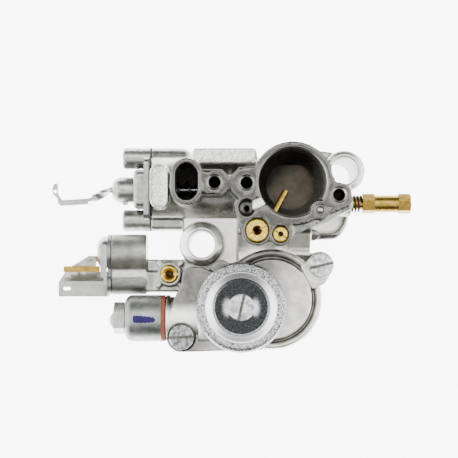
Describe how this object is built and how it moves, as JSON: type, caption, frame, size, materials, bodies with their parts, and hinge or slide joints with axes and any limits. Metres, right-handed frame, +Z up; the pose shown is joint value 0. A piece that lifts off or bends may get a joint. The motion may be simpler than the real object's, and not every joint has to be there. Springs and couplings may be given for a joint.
{
  "type": "scooter carburettor",
  "caption": "Flat slide carburettor for a small scooter engine, with float bowl, fuel union, choke, jets and mixture screw.",
  "frame": {"origin": "centre of the outlet bore in the manifold face, which is also the plane the part stands on", "axes": "+Z up along the throat towards the air filter face, -X along the throttle slide towards its cover and rod, -Y from the throat towards the float bowl"},
  "size_m": [0.1498, 0.0852, 0.0503],
  "materials": {
    "cast_aluminium": "satin die casting with machined faces",
    "cover_casting": "tumbled die casting",
    "dark_gasket": "dark gasket board",
    "zinc_steel": "zinc plated steel",
    "slide_dark": "dark phosphated slide",
    "spring_steel": "bright spring wire",
    "cap_plated": "plated pressing, polished centre and grained rim",
    "brass": "turned brass",
    "fibre": "red-brown fibre",
    "float_plastic": "moulded plastic",
    "gauze": "fine plastic gauze",
    "bright_steel": "bright pressed steel",
    "brass_spring": "dull brass spring wire"
  },
  "bodies": {
    "body": {"main_body": "cast_aluminium", "slide_cover": "cover_casting", "slide_cover_gasket": "dark_gasket", "slide_cover_screws": "zinc_steel", "slide_cover_washers": "spring_steel", "throttle_spring": "spring_steel", "float_cover": "cover_casting", "float_cover_gasket": "dark_gasket", "float_cover_screws": "zinc_steel", "filter_cap": "cap_plated", "filter_cap_screw": "zinc_steel", "fuel_filter": "gauze", "inlet_needle_seat": "brass", "float_pin": "spring_steel", "fuel_inlet_cup": "zinc_steel", "fuel_inlet_bolt": "zinc_steel", "fuel_inlet_washer": "fibre", "air_corrector_jet": "brass", "idle_jet": "brass", "starter_jet": "brass", "discharge_nozzle": "brass", "ball_plug": "bright_steel", "choke_cover": "zinc_steel", "choke_cap": "bright_steel", "choke_bracket": "zinc_steel", "choke_spring": "spring_steel"},
    "throttle": {"throttle_slide": "slide_dark", "throttle_rod": "zinc_steel"},
    "choke": {"choke_plunger": "brass", "choke_pull_strip": "brass", "choke_pull_plate": "bright_steel", "choke_rivet": "brass"},
    "float_arm": {"float": "float_plastic"},
    "needle": {"inlet_needle": "brass"},
    "mixture_spring_seat": {"mixture_spring": "brass_spring"},
    "mixture": {"mixture_screw": "brass"}
  },
  "joints": [
    {"name": "throttle_pull", "type": "slide", "parent": "body", "child": "throttle", "axis": [-1, 0, 0], "range_m": [0, 0.024], "stiffness_N_per_m": 400, "springref_m": -0.012, "deforming": ["throttle_spring"]},
    {"name": "choke_pull", "type": "slide", "parent": "body", "child": "choke", "axis": [-1, 0, 0], "range_m": [0, 0.005], "stiffness_N_per_m": 500, "springref_m": -0.004, "deforming": ["choke_spring"]},
    {"name": "float_rise", "type": "hinge", "parent": "body", "child": "float_arm", "pos_m": [-0.0322, -0.05015, 0.0282], "axis": [0, -1, 0], "range_deg": [0, 8]},
    {"name": "needle_lift", "type": "slide", "parent": "body", "child": "needle", "axis": [0, 0, 1], "range_m": [0, 0.0006]},
    {"name": "mixture_advance", "type": "slide", "parent": "body", "child": "mixture_spring_seat", "axis": [1, 0, 0], "range_m": [-0.0004, 0.0024], "deforming": ["mixture_spring"]},
    {"name": "mixture_turn", "type": "hinge", "parent": "mixture_spring_seat", "child": "mixture", "pos_m": [0.04, -0.0079, 0.03], "axis": [1, 0, 0], "range_deg": [-185, 1085]}
  ],
  "couplings": [
    {"joint": "needle_lift", "follows": "float_rise", "m_per_rad": 0.0036},
    {"joint": "mixture_turn", "follows": "mixture_advance", "rad_per_m": 7854}
  ]
}
